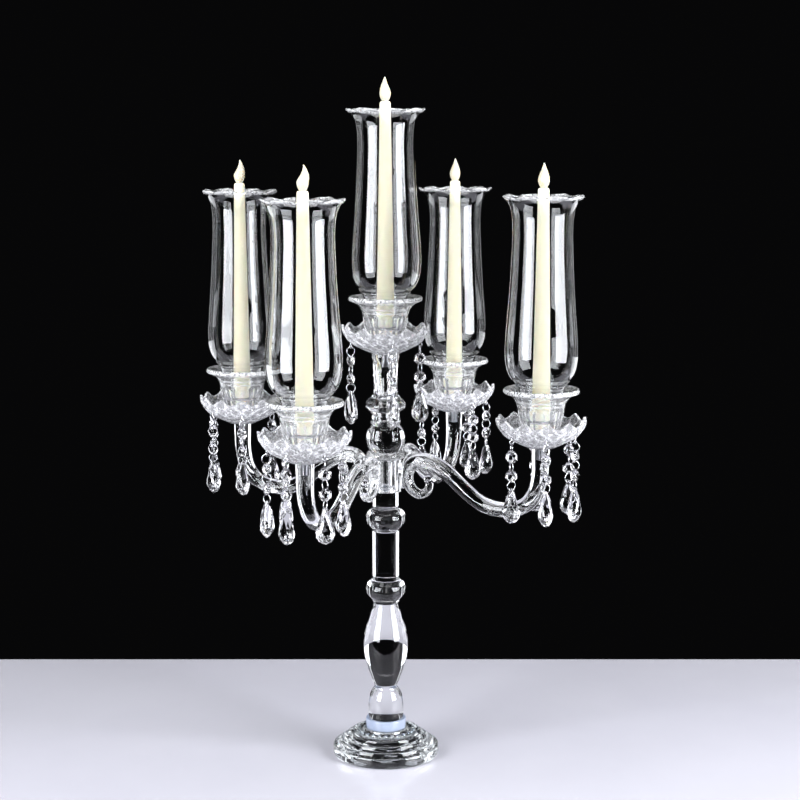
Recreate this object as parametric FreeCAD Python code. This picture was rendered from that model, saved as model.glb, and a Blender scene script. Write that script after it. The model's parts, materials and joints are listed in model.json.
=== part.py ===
"""Five-light crystal candelabrum: a turned glass column on a stepped foot, four S-shaped glass arms
and five candle lights, each with a bobeche, a cup, a hurricane shade, a taper and crystal pendants.

Millimetres, +Z up. The origin is the centre of the foot's underside.
"""
import FreeCAD, Part
import math
import os
from FreeCAD import Placement, Rotation, Vector

os.makedirs("parts", exist_ok=True)

# Layout of the lights
ARM_COUNT = 4
ARM_NAMES = ("right", "back", "left", "front")
ARM_TURN = -26.0            # azimuth of the first arm, degrees from +X
ARM_REACH = 180.0           # column axis to the axis of an arm's light
ARM_RIM_Z = 421.0           # top of an arm light's cup
CENTRE_RIM_Z = 509.0        # top of the centre light's cup

# Column, heights of the joints between its pieces
FOOT_TOP_Z = 30.0
COLLAR_TOP_Z = 41.0
BALUSTER_TOP_Z = 172.0
LOWER_KNOP_TOP_Z = 198.0
ROD_TOP_Z = 253.0
UPPER_KNOP_TOP_Z = 297.0
HUB_TOP_Z = 333.0
HUB_CAP_TOP_Z = 341.0
BALL_TOP_Z = 384.5
FOOT_R = 58.5
COLLAR_R = 22.0
ROD_R = 14.8
HUB_R = 17.7

# One light, heights measured from the top of its cup
CUP_R = 39.8
CUP_BASE = -54.0
LEDGE = -16.0               # ledge inside the cup that carries the shade
SOCKET_R = 10.4             # socket in the cup's floor that holds the taper
SOCKET_FLOOR = -41.0
BOBECHE_BASE = -62.0
BOBECHE_TIP = -30.5
BOBECHE_R = 47.2
LOBE_COUNT = 12             # lobes round the edge of a bobeche
NOTCH_R = 12.0              # radius of the dip between two lobes
NOTCH_DEPTH = 6.0
SEAT_GAP = 0.4              # clearance under a shade and under a taper

SHADE_WALL = 2.0
CANDLE_FOOT_R = 9.7
CANDLE_TOP_R = 5.85
CANDLE_CAP_TOP = -24.0      # top of the battery cap
CANDLE_TOP = 206.0
FLAME_TOP = 231.6

SCREW_R = 3.0
SCREW_HOLE_R = 3.1
SCREW_HEAD_R = 6.0
SCREW_END = -76.0

# Arm: section radius along its length, and its peg in the hub
PEG_R = 4.5
PEG_Z = 319.0
PEG_DEPTH = 6.0
PEG_GAP = 0.1               # room for the adhesive round the peg
TIP_R = 4.6                 # ball at the end of the curl

# Pendant string: ring, bead, ring, bead, ring, drop, hung from a wire eye under the bobeche
WIRE_R = 0.5
EYE_R = 2.0
EYE_Z = -53.2               # centre of the wire eye, from the top of the cup
SHANK_R = 0.6
SHANK_TOP = -47.0
RING_R = 4.7
RING_DROP = 5.2             # from the eye's centre down to the ring's centre
LINK_PITCH = 20.0           # ring to ring
BEAD_R = 7.0
BEAD_THICK = 7.6
DROP_LENGTH = 37.0
DROP_WIDTH = 19.4
DROP_THICK = 13.0
PENDANT_REACH = 38.0        # axis of the light to a string
LINK_HOLE_R = 1.1
LINK_HOLE_INSET = 2.0

# Where the strings hang round a light, and how far each string is twisted from facing outward
ARM_STRINGS = (0.0, 60.0, 120.0, -120.0, -60.0)
CENTRE_STRINGS = (-78.0, 12.0, 102.0, 192.0)
TWISTS = {
    "right": (0.0, 25.0, -20.0, 40.0, -50.0),
    "back": (0.0, 50.0, 30.0, -25.0, -40.0),
    "left": (0.0, 20.0, -35.0, 30.0, -25.0),
    "front": (0.0, -30.0, 45.0, 60.0, -15.0),
    "centre": (55.0, 70.0, -20.0, 15.0),
}

UP = Vector(0, 0, 1)
BASE = Vector(0, 0, 0)


def stretch(points):
    """A straight edge through two (radius, height) points, an arc through three, or a smooth curve."""
    places = [Vector(r, 0, z) for r, z in points]
    if len(places) == 2:
        return Part.makeLine(places[0], places[1])
    if len(places) == 3:
        return Part.Arc(places[0], places[1], places[2]).toShape()
    curve = Part.BSplineCurve()
    curve.interpolate(places)
    return curve.toShape()


def lathe(*stretches):
    """A solid turned about Z from the closed outline that the stretches make."""
    outline = Part.Wire([stretch(points) for points in stretches])
    solid = Part.Face(outline).revolve(BASE, UP, 360)
    if solid.Volume < 0:
        solid.reverse()
    return solid


def cylinder(radius, low, high):
    return Part.makeCylinder(radius, high - low, Vector(0, 0, low))


def ring(major, wire, centre, normal):
    return Part.makeTorus(major, wire, centre, normal)


def offset_outline(points, distance):
    """The outline moved sideways by a distance, to the left of its direction of travel."""
    moved = []
    last = len(points) - 1
    for i, (r, z) in enumerate(points):
        r0, z0 = points[max(i - 1, 0)]
        r1, z1 = points[min(i + 1, last)]
        length = math.hypot(r1 - r0, z1 - z0)
        moved.append((r - (z1 - z0) / length * distance, z + (r1 - r0) / length * distance))
    return moved


def placed(shape, x, y, z, turn):
    """A copy of a shape turned about its own Z axis and then moved."""
    copy = shape.copy()
    copy.Placement = Placement(Vector(x, y, z), Rotation(UP, turn)).multiply(copy.Placement)
    return copy


def group(shapes):
    return shapes[0] if len(shapes) == 1 else Part.makeCompound(shapes)


# ---- column -----------------------------------------------------------------------------------

def make_foot():
    """A heavy round foot that rises in rounded treads to a raised ring and a flat seat."""
    return lathe(
        [(0, 0), (55.0, 0)],
        [(55.0, 0), (57.7, 1.1), (FOOT_R, 3.6)],
        [(FOOT_R, 3.6), (FOOT_R, 8.0)],
        [(FOOT_R, 8.0), (57.4, 11.6), (54.2, 13.2)],
        [(54.2, 13.2), (52.2, 12.6)],
        [(52.2, 12.6), (50.9, 16.0), (48.2, 17.4)],
        [(48.2, 17.4), (46.4, 16.8)],
        [(46.4, 16.8), (45.2, 20.6), (42.0, 22.0)],
        [(42.0, 22.0), (39.8, 21.4)],
        [(39.8, 21.4), (38.8, 25.2), (35.6, 26.9), (32.6, 25.6)],
        [(32.6, 25.6), (25.0, 25.6)],
        [(25.0, 25.6), (23.4, FOOT_TOP_Z)],
        [(23.4, FOOT_TOP_Z), (0, FOOT_TOP_Z)],
        [(0, FOOT_TOP_Z), (0, 0)],
    )


def make_foot_collar():
    collar = cylinder(COLLAR_R, FOOT_TOP_Z, COLLAR_TOP_Z)
    return collar.makeFillet(1.2, [e for e in collar.Edges if abs(e.Length - math.tau * COLLAR_R) < 1])


def make_baluster():
    """A bell under a long vase, turned from one piece of glass."""
    return lathe(
        [(0, COLLAR_TOP_Z), (18.6, COLLAR_TOP_Z)],
        [(18.6, COLLAR_TOP_Z), (19.5, 46), (19.2, 56), (18.0, 66), (15.0, 73)],
        [(15.0, 73), (13.0, 76), (12.6, 79)],
        [(12.6, 79), (16.8, 89), (21.6, 103.5), (24.4, 122), (23.3, 137), (18.7, 154), (15.0, 166),
         (13.8, BALUSTER_TOP_Z)],
        [(13.8, BALUSTER_TOP_Z), (0, BALUSTER_TOP_Z)],
        [(0, BALUSTER_TOP_Z), (0, COLLAR_TOP_Z)],
    )


def make_lower_knop():
    return lathe(
        [(0, BALUSTER_TOP_Z), (14.0, BALUSTER_TOP_Z)],
        [(14.0, BALUSTER_TOP_Z), (15.8, 176.5), (20.2, 181.5), (22.0, 187.4), (20.6, 193.0), (16.6, 196.8),
         (ROD_R, LOWER_KNOP_TOP_Z)],
        [(ROD_R, LOWER_KNOP_TOP_Z), (0, LOWER_KNOP_TOP_Z)],
        [(0, LOWER_KNOP_TOP_Z), (0, BALUSTER_TOP_Z)],
    )


def make_upper_knop():
    """A knop that carries a short rod, on which the hub sits."""
    return lathe(
        [(0, ROD_TOP_Z), (ROD_R, ROD_TOP_Z)],
        [(ROD_R, ROD_TOP_Z), (16.6, 256.4), (20.6, 261.6), (21.9, 267.4), (20.4, 272.6), (16.6, 275.8),
         (14.2, 277.4)],
        [(14.2, 277.4), (14.2, UPPER_KNOP_TOP_Z)],
        [(14.2, UPPER_KNOP_TOP_Z), (0, UPPER_KNOP_TOP_Z)],
        [(0, UPPER_KNOP_TOP_Z), (0, ROD_TOP_Z)],
    )


def make_hub():
    """A cylinder with one peg hole for each arm."""
    hub = cylinder(HUB_R, UPPER_KNOP_TOP_Z, HUB_TOP_Z)
    hub = hub.makeChamfer(0.8, [e for e in hub.Edges if abs(e.Length - math.tau * HUB_R) < 1])
    for i in range(ARM_COUNT):
        mouth = Vector(HUB_R - PEG_DEPTH - PEG_GAP, 0, PEG_Z)
        hole = Part.makeCylinder(PEG_R + PEG_GAP, HUB_R, mouth, Vector(1, 0, 0))
        hub = hub.cut(placed(hole, 0, 0, 0, arm_azimuth(i)))
    return hub


def make_hub_cap():
    return lathe(
        [(0, HUB_TOP_Z), (18.2, HUB_TOP_Z)],
        [(18.2, HUB_TOP_Z), (20.4, 334.6), (20.5, 338.4), (18.4, HUB_CAP_TOP_Z)],
        [(18.4, HUB_CAP_TOP_Z), (0, HUB_CAP_TOP_Z)],
        [(0, HUB_CAP_TOP_Z), (0, HUB_TOP_Z)],
    )


def make_ball_knop():
    """A ball with a smaller bulge and a short neck above it."""
    return lathe(
        [(0, HUB_CAP_TOP_Z), (15.6, HUB_CAP_TOP_Z)],
        [(15.6, HUB_CAP_TOP_Z), (19.6, 346.4), (21.2, 355.4), (19.3, 364.6), (15.2, 369.4)],
        [(15.2, 369.4), (16.4, 374.4), (14.2, 380.0)],
        [(14.2, 380.0), (14.2, BALL_TOP_Z)],
        [(14.2, BALL_TOP_Z), (0, BALL_TOP_Z)],
        [(0, BALL_TOP_Z), (0, HUB_CAP_TOP_Z)],
    )


def make_upper_stem():
    """A waisted stem on a round skirt, drilled at the top for the centre light's screw."""
    top = CENTRE_RIM_Z + BOBECHE_BASE
    stem = lathe(
        [(0, BALL_TOP_Z), (14.4, BALL_TOP_Z)],
        [(14.4, BALL_TOP_Z), (19.4, 386.4), (22.2, 391.2), (19.4, 396.4), (14.6, 401.0), (12.6, 407.0)],
        [(12.6, 407.0), (12.4, 416.0), (13.3, 432.0), (14.3, 441.0)],
        [(14.3, 441.0), (15.0, 443.0), (14.6, top)],
        [(14.6, top), (0, top)],
        [(0, top), (0, BALL_TOP_Z)],
    )
    return stem.cut(cylinder(SCREW_HOLE_R, CENTRE_RIM_Z + SCREW_END - 0.5, top + 1))


# ---- arms -------------------------------------------------------------------------------------

def arm_azimuth(i):
    return ARM_TURN + i * 360.0 / ARM_COUNT


def arm_path():
    """Centre line of an arm as (distance from the column, height, section radius): down from under the
    light, round the bend, up to the crest at the hub, and round into a curl."""
    top = ARM_RIM_Z + BOBECHE_BASE
    return (
        (ARM_REACH, top, 9.6),
        (ARM_REACH, top - 14.0, 9.2),
        (179.4, 328.0, 8.8),
        (174.5, 309.5, 8.3),
        (163.5, 296.0, 8.0),
        (149.0, 290.2, 8.0),
        (133.0, 288.6, 8.0),
        (117.9, 291.4, 8.2),
        (103.8, 298.7, 8.3),
        (90.0, 309.2, 8.5),
        (75.6, 321.0, 8.8),
        (62.0, 329.4, 9.0),
        (49.5, 333.4, 9.0),
        (37.8, 332.6, 8.6),
        (29.4, 325.8, 7.6),
        (26.4, 314.8, 6.7),
        (30.6, 302.8, 6.1),
        (41.0, 296.6, 5.4),
        (50.2, 300.6, 4.8),
        (52.6, 308.6, 4.3),
        (51.4, 312.4, 4.0),
    )


def make_arm():
    """A round glass rod lofted along its centre line, with a ball at the curl's end and a peg for the hub."""
    path = arm_path()
    last = len(path) - 1
    side = Vector(0, 1, 0)
    sections = []
    for i, (r, z, radius) in enumerate(path):
        r0, z0, _ = path[max(i - 1, 0)]
        r1, z1, _ = path[min(i + 1, last)]
        along = Vector(r1 - r0, 0, z1 - z0)
        frame = Rotation(along.cross(side), side, along, "ZXY")
        sections.append(section_circle(Vector(r, 0, z), frame, radius))
    rod = Part.makeLoft(sections, True, False)
    tip = Part.makeSphere(TIP_R, Vector(51.2, 0, 312.8))
    peg = Part.makeCylinder(PEG_R, 14.0, Vector(HUB_R - PEG_DEPTH, 0, PEG_Z), Vector(1, 0, 0))
    arm = rod.fuse([tip, peg]).removeSplitter()
    hole = cylinder(SCREW_HOLE_R, ARM_RIM_Z + SCREW_END - 0.5, ARM_RIM_Z)
    return arm.cut(placed(hole, ARM_REACH, 0, 0, 0))


def section_circle(centre, frame, radius):
    """A circle about a point, starting at the same side in every section."""
    circle = Part.Circle(BASE, UP, radius).toShape()
    circle.Placement = Placement(centre, frame)
    return Part.Wire([circle])


# ---- one light --------------------------------------------------------------------------------

def make_bobeche():
    """A glass drip dish with a scalloped edge, drilled for the cup screw."""
    dish = lathe(
        [(SCREW_HOLE_R, BOBECHE_BASE), (15.0, BOBECHE_BASE)],
        [(15.0, BOBECHE_BASE), (17.4, -60.4)],
        [(17.4, -60.4), (29.5, -54.8), (37.6, -50.2), (43.4, -43.4), (46.2, -36.4), (BOBECHE_R, BOBECHE_TIP)],
        [(BOBECHE_R, BOBECHE_TIP), (44.4, BOBECHE_TIP)],
        [(44.4, BOBECHE_TIP), (42.9, -36.6), (39.4, -42.4), (33.0, -47.2), (25.0, -50.6), (17.6, -52.4)],
        [(17.6, -52.4), (17.0, CUP_BASE)],
        [(17.0, CUP_BASE), (SCREW_HOLE_R, CUP_BASE)],
        [(SCREW_HOLE_R, CUP_BASE), (SCREW_HOLE_R, BOBECHE_BASE)],
    )
    level = BOBECHE_TIP + NOTCH_R - NOTCH_DEPTH
    notch = Part.makeCylinder(NOTCH_R, BOBECHE_R, Vector(30.0, 0, level), Vector(1, 0, 0))
    step = 360.0 / LOBE_COUNT
    notches = [placed(notch, 0, 0, 0, (i + 0.5) * step) for i in range(LOBE_COUNT)]
    return dish.cut(notches)


def make_cup():
    """A thick flared cup with a ledge for the shade and a socket for the taper."""
    head_low = SOCKET_FLOOR - 3.0
    return lathe(
        [(SCREW_HOLE_R, CUP_BASE), (15.4, CUP_BASE)],
        [(15.4, CUP_BASE), (17.0, -49.0), (20.4, -41.0), (22.8, -33.0), (24.2, -24.0), (24.9, -18.0)],
        [(24.9, -18.0), (26.8, -13.4), (31.2, -8.6), (37.6, -5.4)],
        [(37.6, -5.4), (39.5, -4.2), (CUP_R, -2.2), (38.6, 0)],
        [(38.6, 0), (36.2, -0.2)],
        [(36.2, -0.2), (31.0, -3.6), (26.6, -8.6), (23.2, -13.8), (22.6, LEDGE)],
        [(22.6, LEDGE), (19.6, LEDGE)],
        [(19.6, LEDGE), (19.2, -24.0), (17.4, -31.0), (14.0, -34.6)],
        [(14.0, -34.6), (SOCKET_R, -35.0)],
        [(SOCKET_R, -35.0), (SOCKET_R, SOCKET_FLOOR)],
        [(SOCKET_R, SOCKET_FLOOR), (SCREW_HEAD_R + 0.2, SOCKET_FLOOR)],
        [(SCREW_HEAD_R + 0.2, SOCKET_FLOOR), (SCREW_HEAD_R + 0.2, head_low)],
        [(SCREW_HEAD_R + 0.2, head_low), (SCREW_HOLE_R, head_low)],
        [(SCREW_HOLE_R, head_low), (SCREW_HOLE_R, CUP_BASE)],
    )


def make_shade():
    """A thin hurricane chimney: a fitter that stands in the cup, a belly, a waist and a flared lip."""
    body = [(27.6, 5.2), (35.2, 12.2), (38.7, 26.0), (38.2, 50.0), (35.0, 90.0), (32.0, 140.0), (31.7, 174.0),
            (36.4, 193.2), (41.6, 197.4)]
    inside = offset_outline(body, SHADE_WALL)
    foot = LEDGE + SEAT_GAP
    return lathe(
        [(20.2, foot), (22.1, foot)],
        [(22.1, foot), (22.2, -8.0)],
        [(22.2, -8.0), (24.4, 0.4), (27.0, 3.6)],
        [(27.0, 3.6), body[0]],
        body,
        [body[-1], inside[-1]],
        inside[::-1],
        [inside[0], (24.9, 4.6)],
        [(24.9, 4.6), (22.6, 1.2), (20.2, -8.0)],
        [(20.2, -8.0), (20.2, foot)],
    )


def make_candle():
    """A battery taper: a cap at the foot, the long wax body and a soft flame on top."""
    foot = SOCKET_FLOOR + SEAT_GAP
    cap = lathe(
        [(0, foot), (CANDLE_FOOT_R - 0.6, foot)],
        [(CANDLE_FOOT_R - 0.6, foot), (CANDLE_FOOT_R, foot + 0.6)],
        [(CANDLE_FOOT_R, foot + 0.6), (CANDLE_FOOT_R, CANDLE_CAP_TOP)],
        [(CANDLE_FOOT_R, CANDLE_CAP_TOP), (0, CANDLE_CAP_TOP)],
        [(0, CANDLE_CAP_TOP), (0, foot)],
    )
    shoulder = CANDLE_TOP - 3.0
    wax = lathe(
        [(0, CANDLE_CAP_TOP), (CANDLE_FOOT_R, CANDLE_CAP_TOP)],
        [(CANDLE_FOOT_R, CANDLE_CAP_TOP), (CANDLE_TOP_R, shoulder)],
        [(CANDLE_TOP_R, shoulder), (5.2, CANDLE_TOP - 0.8), (3.8, CANDLE_TOP)],
        [(3.8, CANDLE_TOP), (0, CANDLE_TOP)],
        [(0, CANDLE_TOP), (0, CANDLE_CAP_TOP)],
    )
    flame = lathe(
        [(0, CANDLE_TOP), (3.4, CANDLE_TOP)],
        [(3.4, CANDLE_TOP), (5.6, CANDLE_TOP + 5.0), (5.9, CANDLE_TOP + 9.0), (3.6, CANDLE_TOP + 16.5),
         (0.7, FLAME_TOP)],
        [(0.7, FLAME_TOP), (0, FLAME_TOP)],
        [(0, FLAME_TOP), (0, CANDLE_TOP)],
    )
    return group([cap, wax, flame])


def make_cup_screw():
    head = cylinder(SCREW_HEAD_R, SOCKET_FLOOR - 3.0, SOCKET_FLOOR - 0.2)
    slot = Part.makeBox(2 * SCREW_HEAD_R, 1.4, 1.2, Vector(-SCREW_HEAD_R, -0.7, SOCKET_FLOOR - 1.4))
    shank = cylinder(SCREW_R, SCREW_END, SOCKET_FLOOR - 3.0)
    return head.cut(slot).fuse(shank).removeSplitter()


# ---- pendant strings --------------------------------------------------------------------------
# Each is made with its first ring's centre at the origin, facing +X.

def cut_gem(levels, sides):
    """A faceted solid: one polygon of the given half width and half thickness at each height."""
    rows = []
    for z, half_width, half_thick in levels:
        row = []
        for k in range(sides):
            angle = math.tau * (k + 0.5) / sides
            row.append(Vector(half_thick * math.cos(angle), half_width * math.sin(angle), z))
        rows.append(row)
    faces = [polygon(rows[0][::-1]), polygon(rows[-1])]
    for low, high in zip(rows, rows[1:]):
        for k in range(sides):
            n = (k + 1) % sides
            faces.append(polygon([low[k], low[n], high[n]]))
            faces.append(polygon([low[k], high[n], high[k]]))
    return Part.Solid(Part.Shell(faces))


def polygon(corners):
    return Part.Face(Part.makePolygon(list(corners) + [corners[0]]))


def make_bead():
    """An eight-sided bead, thick in the middle, with a hole near its top and its bottom."""
    girdle = 0.5
    table = BEAD_R * 0.52
    rows = []
    for x, radius in ((-BEAD_THICK / 2, table), (-girdle, BEAD_R), (girdle, BEAD_R), (BEAD_THICK / 2, table)):
        rows.append([Vector(x, radius * math.sin(math.tau * (k + 0.5) / 8),
                            radius * math.cos(math.tau * (k + 0.5) / 8)) for k in range(8)])
    faces = [polygon(rows[0]), polygon(rows[-1])]
    for low, high in zip(rows, rows[1:]):
        for k in range(8):
            n = (k + 1) % 8
            faces.append(polygon([low[k], low[n], high[n], high[k]]))
    bead = Part.Solid(Part.Shell(faces))
    for side in (-1, 1):
        hole_z = side * (BEAD_R - LINK_HOLE_INSET)
        bead = bead.cut(Part.makeCylinder(LINK_HOLE_R, BEAD_THICK, Vector(-BEAD_THICK / 2, 0, hole_z),
                                          Vector(1, 0, 0)))
    return bead


def make_drop():
    """A faceted pear drop hanging from its hole, which is at the origin."""
    top = LINK_HOLE_INSET + 0.5
    low = top - DROP_LENGTH
    w = DROP_WIDTH / 2
    t = DROP_THICK / 2
    drop = cut_gem([
        (low, 0.22 * w, 0.22 * t),
        (low + 0.06 * DROP_LENGTH, 0.66 * w, 0.58 * t),
        (low + 0.24 * DROP_LENGTH, w, t),
        (low + 0.46 * DROP_LENGTH, 0.84 * w, 0.94 * t),
        (low + 0.74 * DROP_LENGTH, 0.42 * w, 0.56 * t),
        (top, 0.26 * w, 0.30 * t),
    ], 10)
    return drop.cut(Part.makeCylinder(LINK_HOLE_R, DROP_THICK, Vector(-DROP_THICK / 2, 0, 0), Vector(1, 0, 0)))


def make_string():
    """Three rings, two beads and a drop. The rings stand edge-on to the way that the beads face."""
    side = Vector(0, 1, 0)
    pieces = [ring(RING_R, WIRE_R, Vector(0, 0, -i * LINK_PITCH), side) for i in range(3)]
    bead = make_bead()
    for i in range(2):
        pieces.append(placed(bead, 0, 0, -(i + 0.5) * LINK_PITCH, 0))
    hang = 2 * LINK_PITCH + RING_R + 0.3
    pieces.append(placed(make_drop(), 0, 0, -hang, 0))
    return group(pieces)


def make_hook():
    """A wire eye on a shank that is set in the underside of a bobeche."""
    eye = ring(EYE_R, WIRE_R, BASE, Vector(1, 0, 0))
    shank = cylinder(SHANK_R, EYE_R, SHANK_TOP - EYE_Z)
    return eye.fuse(shank).removeSplitter()


# ---- assembly ---------------------------------------------------------------------------------

def save(name, shape):
    bad = [i for i, solid in enumerate(shape.Solids) if not solid.isValid() or solid.Volume <= 0]
    print(f"{name:22s} solids {len(shape.Solids):2d}  volume {shape.Volume:12.1f}  bad {bad}")
    shape.exportStep(f"parts/{name}.step")


def light_places():
    """(name, x, y, height of the cup's top, azimuth, string angles) for each light."""
    places = [("centre", 0.0, 0.0, CENTRE_RIM_Z, 0.0, CENTRE_STRINGS)]
    for i, name in enumerate(ARM_NAMES):
        azimuth = arm_azimuth(i)
        x = ARM_REACH * math.cos(math.radians(azimuth))
        y = ARM_REACH * math.sin(math.radians(azimuth))
        places.append((name, x, y, ARM_RIM_Z, azimuth, ARM_STRINGS))
    return places


def main():
    save("foot", make_foot())
    save("foot_collar", make_foot_collar())
    save("baluster", make_baluster())
    save("lower_knop", make_lower_knop())
    save("column_rod", cylinder(ROD_R, LOWER_KNOP_TOP_Z, ROD_TOP_Z))
    save("upper_knop", make_upper_knop())
    save("hub", make_hub())
    save("hub_cap", make_hub_cap())
    save("ball_knop", make_ball_knop())
    save("upper_stem", make_upper_stem())

    arm = make_arm()
    for i, name in enumerate(ARM_NAMES):
        save(f"arm_{name}", placed(arm, 0, 0, 0, arm_azimuth(i)))

    bobeche = make_bobeche()
    light_parts = {"cup": make_cup(), "shade": make_shade(), "candle": make_candle()}
    screw = make_cup_screw()
    string = make_string()
    hook = make_hook()
    screws = []
    hooks = []
    for name, x, y, rim, azimuth, strings in light_places():
        for part_name, shape in light_parts.items():
            save(f"{part_name}_{name}", placed(shape, x, y, rim, azimuth))
        screws.append(placed(screw, x, y, rim, azimuth))
        dish = placed(bobeche, x, y, rim, azimuth)
        own_hooks = []
        for number, (angle, twist) in enumerate(zip(strings, TWISTS[name]), start=1):
            out = math.radians(azimuth + angle)
            hx = x + PENDANT_REACH * math.cos(out)
            hy = y + PENDANT_REACH * math.sin(out)
            facing = azimuth + angle + twist
            own_hooks.append(placed(hook, hx, hy, rim + EYE_Z, facing))
            save(f"pendant_{name}_{number}", placed(string, hx, hy, rim + EYE_Z - RING_DROP, facing))
        save(f"bobeche_{name}", dish.cut(own_hooks))
        hooks.extend(own_hooks)
    save("cup_screws", group(screws))
    save("pendant_hooks", group(hooks))


main()
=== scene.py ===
"""Five-light crystal candelabrum: the finished look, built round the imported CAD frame.

Shapes are written in millimetres in the helper calls and turned into metres when a mesh is made.
"""
import json
import math
import random

import bmesh
import bpy
from mathutils import Matrix, Vector


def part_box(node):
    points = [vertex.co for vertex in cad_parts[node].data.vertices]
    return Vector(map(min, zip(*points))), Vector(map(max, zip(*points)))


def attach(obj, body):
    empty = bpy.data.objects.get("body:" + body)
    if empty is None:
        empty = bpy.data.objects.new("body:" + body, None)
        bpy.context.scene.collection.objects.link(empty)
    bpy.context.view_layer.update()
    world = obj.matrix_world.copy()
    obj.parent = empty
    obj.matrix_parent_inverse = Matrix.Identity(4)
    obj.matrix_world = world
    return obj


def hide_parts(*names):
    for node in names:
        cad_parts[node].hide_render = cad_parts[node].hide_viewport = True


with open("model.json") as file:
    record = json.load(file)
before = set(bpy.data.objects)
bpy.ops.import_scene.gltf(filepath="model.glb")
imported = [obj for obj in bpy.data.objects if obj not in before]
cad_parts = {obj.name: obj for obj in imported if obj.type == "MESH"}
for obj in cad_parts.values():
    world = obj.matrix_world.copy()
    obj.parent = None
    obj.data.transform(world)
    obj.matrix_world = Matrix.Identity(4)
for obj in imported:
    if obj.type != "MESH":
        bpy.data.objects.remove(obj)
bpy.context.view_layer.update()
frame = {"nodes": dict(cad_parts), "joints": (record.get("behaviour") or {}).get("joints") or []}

MM = 0.001
TAU = math.tau
RNG = random.Random(7)

LIGHTS = ("centre", "right", "back", "left", "front")
ARMS = LIGHTS[1:]

# Heights of a light's parts, in millimetres from the top of its cup
BOBECHE_TIP = -30.5
BOBECHE_BASE = -62.0
CUP_BASE = -54.0
SCREW_TOP = -41.3
CANDLE_FOOT = -40.4
CANDLE_CAP_TOP = -24.0
CANDLE_TOP = 206.0
FLAME_TOP = 231.6

# Other sizes, in millimetres
SEAM = 0.12                 # air gap at each glued face, which shows as a bright line
ARM_REACH = 180.0           # from the column's axis to a light's
SCREW_HOLE_R = 3.2
CANDLE_CAP_R = 9.6
WAX_FOOT_R = 9.62
WAX_TOP_R = 5.8
RING_R = 4.7
RING_WIRE = 0.42
LINK_PITCH = 20.0
DROP_DEPTH = 6.5            # from the middle of a pear drop to its table

# Counts round a turn
LOBES = 12
CUP_FLUTES = 12
HUB_FLUTES = 14
STEM_FLUTES = 8
ARM_RIBS = 5
FOOT_BEADS = 26
DROP_SIDES = 18

# How the lights and strings differ from each other
FLAME_BEND = {"centre": -0.5, "right": 0.3, "back": 0.4, "left": 1.5, "front": 1.9}
SHADE_TURN = 1.3            # radians from one light's shade to the next
STRING_KINDS = 6
STRING_TWIST = 16           # degrees that a bead or drop may hang off true


# ---- geometry helpers -------------------------------------------------------------------------

def smooth(points, steps=6):
    """A smooth line through the points, by Catmull-Rom, with the given steps between each two."""
    line = []
    last = len(points) - 1
    for i in range(last):
        p0 = points[max(i - 1, 0)]
        p1 = points[i]
        p2 = points[i + 1]
        p3 = points[min(i + 2, last)]
        for s in range(steps):
            t = s / steps
            line.append(tuple(
                0.5 * (2 * b + (c - a) * t + (2 * a - 5 * b + 4 * c - d) * t * t
                       + (3 * b - a - 3 * c + d) * t ** 3)
                for a, b, c, d in zip(p0, p1, p2, p3)))
    line.append(tuple(points[last]))
    return line


def outline(*stretches):
    """Joins straight (two-point) and smooth (longer) stretches into one list of points."""
    points = []
    for stretch in stretches:
        part = [tuple(p) for p in stretch] if len(stretch) == 2 else smooth(stretch)
        points += part if not points else part[1:]
    return points


def eased(x):
    x = min(max(x, 0.0), 1.0)
    return x * x * (3 - 2 * x)


def make_piece(name, vertices, faces, sharp=32.0):
    """A mesh object from points in millimetres, smooth except along edges sharper than the angle."""
    mesh = bpy.data.meshes.new(name)
    mesh.from_pydata([(x * MM, y * MM, z * MM) for x, y, z in vertices], [], faces)
    mesh.validate()
    mesh.shade_smooth()
    mesh.set_sharp_from_angle(angle=math.radians(sharp))
    obj = bpy.data.objects.new(name, mesh)
    bpy.context.scene.collection.objects.link(obj)
    return obj


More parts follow.
